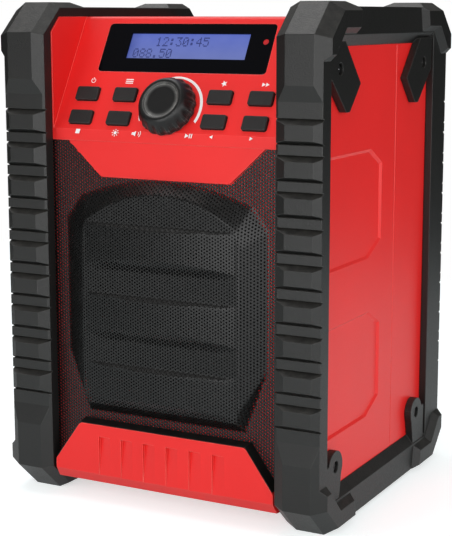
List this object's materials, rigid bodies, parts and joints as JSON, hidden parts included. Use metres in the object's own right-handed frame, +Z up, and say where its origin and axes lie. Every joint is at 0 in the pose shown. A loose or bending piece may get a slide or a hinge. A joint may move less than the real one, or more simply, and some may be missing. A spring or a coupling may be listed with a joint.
{
  "type": "jobsite radio",
  "caption": "Jobsite radio: red box housing between two black treaded roll-cage side frames, leaning control panel with display, knob and keys over a formed perforated grille.",
  "frame": {"origin": "on the ground, under the middle of the radio's width and depth", "axes": "+Z up, the front with panel and grille faces -Y, +X to the right seen from the front"},
  "size_m": [0.198, 0.18, 0.275],
  "materials": {
    "housing_red": "satin moulded red plastic",
    "frame_black": "fine-grained hard rubber, charcoal",
    "screw_steel": "zinc-plated",
    "seal_rubber": "matt",
    "grille_black": "satin black powder coat on perforated sheet",
    "inner_black": "matt",
    "basket_steel": "black",
    "magnet": "dull",
    "cone_black": "matt",
    "lens_black": "high gloss",
    "lcd_glass": "backlit blue",
    "led_red": "clear red",
    "board_green": "lacquered circuit board",
    "encoder_metal": "satin",
    "contact_metal": "nickel on brass",
    "knob_black": "satin",
    "key_rubber": "matt",
    "cover_rubber": "matt",
    "antenna_chrome": "polished"
  },
  "bodies": {
    "housing": {"front_shell": "housing_red", "rear_shell": "housing_red", "frame_left": "frame_black", "frame_right": "frame_black", "frame_screws": "screw_steel", "housing_screws": "screw_steel", "speaker_screws": "screw_steel", "control_board_screws": "screw_steel", "main_board_screws": "screw_steel", "housing_seal": "seal_rubber", "speaker_grille": "grille_black", "speaker_plate": "inner_black", "speaker_basket": "basket_steel", "speaker_magnet": "magnet", "speaker_cone": "cone_black", "speaker_surround": "seal_rubber", "dust_cap": "cone_black", "display_lens": "lens_black", "lcd_screen": "lcd_glass", "indicator_led": "led_red", "control_board": "board_green", "main_board": "board_green", "key_switches": "inner_black", "encoder_body": "encoder_metal", "encoder_nut": "encoder_metal", "battery_bay": "inner_black", "battery_contacts": "contact_metal", "door_hinge_pins": "screw_steel", "dc_inlet": "inner_black", "dc_inlet_pin": "contact_metal", "audio_socket": "inner_black", "cover_pin": "screw_steel", "antenna_mount": "inner_black"},
    "encoder_push": {"encoder_plunger": "inner_black"},
    "knob": {"knob": "knob_black", "knob_shaft": "encoder_metal"},
    "battery_door": {"battery_door": "housing_red"},
    "door_latch": {"door_latch": "inner_black"},
    "port_cover": {"port_cover": "cover_rubber"},
    "antenna_swivel": {"antenna_knuckle": "inner_black", "antenna_pin": "screw_steel"},
    "antenna_tube_1": {"antenna_tube_1": "antenna_chrome"},
    "antenna_tube_2": {"antenna_tube_2": "antenna_chrome"},
    "antenna_tube_3": {"antenna_tube_3": "antenna_chrome"},
    "antenna_tip": {"antenna_tip": "antenna_chrome"},
    "key_power": {"key_power": "key_rubber"},
    "key_menu": {"key_menu": "key_rubber"},
    "key_mode": {"key_mode": "key_rubber"},
    "key_dimmer": {"key_dimmer": "key_rubber"},
    "key_preset": {"key_preset": "key_rubber"},
    "key_scan": {"key_scan": "key_rubber"},
    "key_previous": {"key_previous": "key_rubber"},
    "key_next": {"key_next": "key_rubber"}
  },
  "joints": [
    {"name": "key_power_press", "type": "slide", "parent": "housing", "child": "key_power", "axis": [0, 0.8669, -0.4985], "range_m": [0, 0.0008], "stiffness_N_per_m": 300},
    {"name": "key_menu_press", "type": "slide", "parent": "housing", "child": "key_menu", "axis": [0, 0.8669, -0.4985], "range_m": [0, 0.0008], "stiffness_N_per_m": 300},
    {"name": "key_mode_press", "type": "slide", "parent": "housing", "child": "key_mode", "axis": [0, 0.8669, -0.4985], "range_m": [0, 0.0008], "stiffness_N_per_m": 300},
    {"name": "key_dimmer_press", "type": "slide", "parent": "housing", "child": "key_dimmer", "axis": [0, 0.8669, -0.4985], "range_m": [0, 0.0008], "stiffness_N_per_m": 300},
    {"name": "key_preset_press", "type": "slide", "parent": "housing", "child": "key_preset", "axis": [0, 0.8669, -0.4985], "range_m": [0, 0.0008], "stiffness_N_per_m": 300},
    {"name": "key_scan_press", "type": "slide", "parent": "housing", "child": "key_scan", "axis": [0, 0.8669, -0.4985], "range_m": [0, 0.0008], "stiffness_N_per_m": 300},
    {"name": "key_previous_press", "type": "slide", "parent": "housing", "child": "key_previous", "axis": [0, 0.8669, -0.4985], "range_m": [0, 0.0008], "stiffness_N_per_m": 300},
    {"name": "key_next_press", "type": "slide", "parent": "housing", "child": "key_next", "axis": [0, 0.8669, -0.4985], "range_m": [0, 0.0008], "stiffness_N_per_m": 300},
    {"name": "encoder_press", "type": "slide", "parent": "housing", "child": "encoder_push", "axis": [0, 0.8669, -0.4985], "range_m": [0, 0.0005], "stiffness_N_per_m": 900},
    {"name": "knob_turn", "type": "hinge", "parent": "encoder_push", "child": "knob", "pos_m": [0, -0.07325, 0.21959], "axis": [0, -0.8669, 0.4985], "continuous": true},
    {"name": "battery_door_hinge", "type": "hinge", "parent": "housing", "child": "battery_door", "pos_m": [0, 0.0692, 0.038], "axis": [-1, 0, 0], "range_deg": [0, 110]},
    {"name": "door_latch_slide", "type": "slide", "parent": "battery_door", "child": "door_latch", "axis": [0, 0, 1], "range_m": [0, 0.0035]},
    {"name": "port_cover_hinge", "type": "hinge", "parent": "housing", "child": "port_cover", "pos_m": [-0.028, 0.0686, 0.1386], "axis": [-1, 0, 0], "range_deg": [0, 120]},
    {"name": "antenna_swivel_turn", "type": "hinge", "parent": "housing", "child": "antenna_swivel", "pos_m": [0.055, 0.0784, 0.148], "axis": [0, -1, 0], "range_deg": [0, 90]},
    {"name": "antenna_tilt", "type": "hinge", "parent": "antenna_swivel", "child": "antenna_tube_1", "pos_m": [0.055, 0.0784, 0.148], "axis": [-1, 0, 0], "range_deg": [0, 90]},
    {"name": "antenna_tube_2_slide", "type": "slide", "parent": "antenna_tube_1", "child": "antenna_tube_2", "axis": [0, 0, 1], "range_m": [0, 0.08]},
    {"name": "antenna_tube_3_slide", "type": "slide", "parent": "antenna_tube_2", "child": "antenna_tube_3", "axis": [0, 0, 1], "range_m": [0, 0.076]},
    {"name": "antenna_tip_slide", "type": "slide", "parent": "antenna_tube_3", "child": "antenna_tip", "axis": [0, 0, 1], "range_m": [0, 0.072]}
  ]
}
